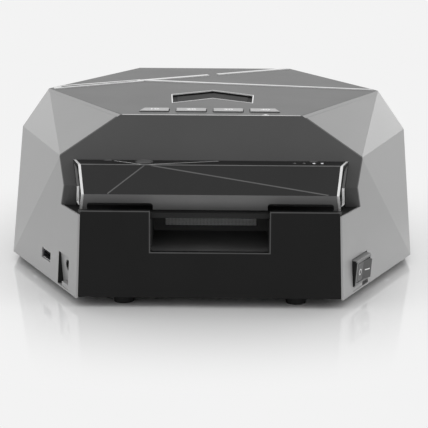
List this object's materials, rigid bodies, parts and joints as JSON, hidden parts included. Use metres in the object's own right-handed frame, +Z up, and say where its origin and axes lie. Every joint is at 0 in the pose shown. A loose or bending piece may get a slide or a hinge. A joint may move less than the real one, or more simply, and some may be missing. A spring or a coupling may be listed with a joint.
{
  "type": "desktop laser cutter",
  "caption": "Compact desktop laser cutter: faceted housing, hinged front hood, pull-out drawer with honeycomb bed, key row, power rocker and an inner screw-driven laser gantry.",
  "frame": {"origin": "on the floor, under the middle of the hexagonal top, halfway between the front and rear foot of the housing", "axes": "+Z up, -Y towards the front with the hood and drawer, +X to the right as seen from the front"},
  "size_m": [0.238, 0.256, 0.0988],
  "materials": {
    "shell_plastic": "satin",
    "cover_plastic": "satin",
    "gloss_black": "gloss",
    "fascia_plastic": "gloss",
    "black_plastic": "matte",
    "dark_plastic": "satin",
    "bright_trim": "polished",
    "steel": "polished",
    "aluminium": "anodised",
    "brass": "machined",
    "rubber": "matte",
    "board": "solder mask",
    "lens_glass": "clear",
    "lamp_glass": "clear",
    "motor_metal": "satin"
  },
  "bodies": {
    "chassis": {"housing_shell": "shell_plastic", "top_cover": "cover_plastic", "top_trim": "bright_trim", "chevron_bezel": "bright_trim", "chevron_window": "gloss_black", "key_board": "board", "front_fascia": "fascia_plastic", "drawer_channels": "steel", "base_plate": "black_plastic", "base_screws": "steel", "rubber_feet": "rubber", "rocker_bezel": "black_plastic", "dc_jack": "black_plastic", "usb_shell": "steel", "usb_tongue": "black_plastic", "exhaust_grille": "dark_plastic", "fan_frame": "black_plastic", "rail_posts_left": "aluminium", "rail_posts_right": "aluminium", "y_rails": "steel", "y_screw_bearing": "dark_plastic", "y_motor_bracket": "aluminium", "y_motor": "motor_metal", "circuit_boards": "board", "board_standoffs": "brass", "board_components": "black_plastic"},
    "hood": {"hood_shell": "gloss_black", "hood_end_frames": "dark_plastic", "hood_inlay": "bright_trim", "hood_pins": "steel", "hood_button_ring": "dark_plastic", "hood_board": "board", "hood_lamps": "lamp_glass"},
    "hood_push_button": {"hood_button": "bright_trim"},
    "drawer": {"drawer_panel": "gloss_black", "drawer_trim": "bright_trim", "drawer_tray": "black_plastic", "drawer_pocket": "black_plastic", "pocket_mesh": "dark_plastic", "honeycomb_bed": "aluminium"},
    "first_key": {"key_1": "cover_plastic"},
    "second_key": {"key_2": "cover_plastic"},
    "third_key": {"key_3": "cover_plastic"},
    "fourth_key": {"key_4": "cover_plastic"},
    "power_rocker": {"rocker": "dark_plastic"},
    "fan_wheel": {"fan_rotor": "black_plastic"},
    "gantry": {"carriage_left": "dark_plastic", "carriage_right": "dark_plastic", "y_bushes": "brass", "y_nut": "brass", "x_rods": "steel", "x_motor": "motor_metal"},
    "y_spindle": {"y_screw": "steel"},
    "laser_head": {"laser_carriage": "dark_plastic", "x_nut": "brass", "laser_module": "aluminium", "lens_ring": "brass", "lens": "lens_glass"},
    "x_spindle": {"x_screw": "steel"}
  },
  "joints": [
    {"name": "hood_hinge", "type": "hinge", "parent": "chassis", "child": "hood", "pos_m": [0, -0.1009, 0.0742], "axis": [-1, 0, 0], "range_deg": [0, 80]},
    {"name": "hood_button_press", "type": "slide", "parent": "hood", "child": "hood_push_button", "axis": [0, 0, -1], "range_m": [0, 0.0006], "stiffness_N_per_m": 300, "springref_m": -0.0004},
    {"name": "drawer_slide", "type": "slide", "parent": "chassis", "child": "drawer", "axis": [0, -1, 0], "range_m": [0, 0.11]},
    {"name": "first_key_press", "type": "slide", "parent": "chassis", "child": "first_key", "axis": [0, 0, -1], "range_m": [0, 0.0006], "stiffness_N_per_m": 300, "springref_m": -0.0004},
    {"name": "second_key_press", "type": "slide", "parent": "chassis", "child": "second_key", "axis": [0, 0, -1], "range_m": [0, 0.0006], "stiffness_N_per_m": 300, "springref_m": -0.0004},
    {"name": "third_key_press", "type": "slide", "parent": "chassis", "child": "third_key", "axis": [0, 0, -1], "range_m": [0, 0.0006], "stiffness_N_per_m": 300, "springref_m": -0.0004},
    {"name": "fourth_key_press", "type": "slide", "parent": "chassis", "child": "fourth_key", "axis": [0, 0, -1], "range_m": [0, 0.0006], "stiffness_N_per_m": 300, "springref_m": -0.0004},
    {"name": "rocker_tilt", "type": "hinge", "parent": "chassis", "child": "power_rocker", "pos_m": [0.08107, -0.10501, 0.01612], "axis": [0.065, -0.0332, 0.9973], "range_deg": [0, 16]},
    {"name": "fan_spin", "type": "hinge", "parent": "chassis", "child": "fan_wheel", "pos_m": [0, 0.11233, 0.042], "axis": [0, 0.9208, 0.3901], "continuous": true},
    {"name": "gantry_slide", "type": "slide", "parent": "chassis", "child": "gantry", "axis": [0, 1, 0], "range_m": [-0.034, 0.034]},
    {"name": "y_screw_spin", "type": "hinge", "parent": "chassis", "child": "y_spindle", "pos_m": [0.056, 0, 0.066], "axis": [0, 1, 0], "continuous": true},
    {"name": "head_slide", "type": "slide", "parent": "gantry", "child": "laser_head", "axis": [1, 0, 0], "range_m": [-0.034, 0.034]},
    {"name": "x_screw_spin", "type": "hinge", "parent": "gantry", "child": "x_spindle", "pos_m": [0, 0.02, 0.0715], "axis": [1, 0, 0], "continuous": true}
  ],
  "couplings": [
    {"joint": "y_screw_spin", "follows": "gantry_slide", "rad_per_m": 1256.6},
    {"joint": "x_screw_spin", "follows": "head_slide", "rad_per_m": 1256.6}
  ]
}
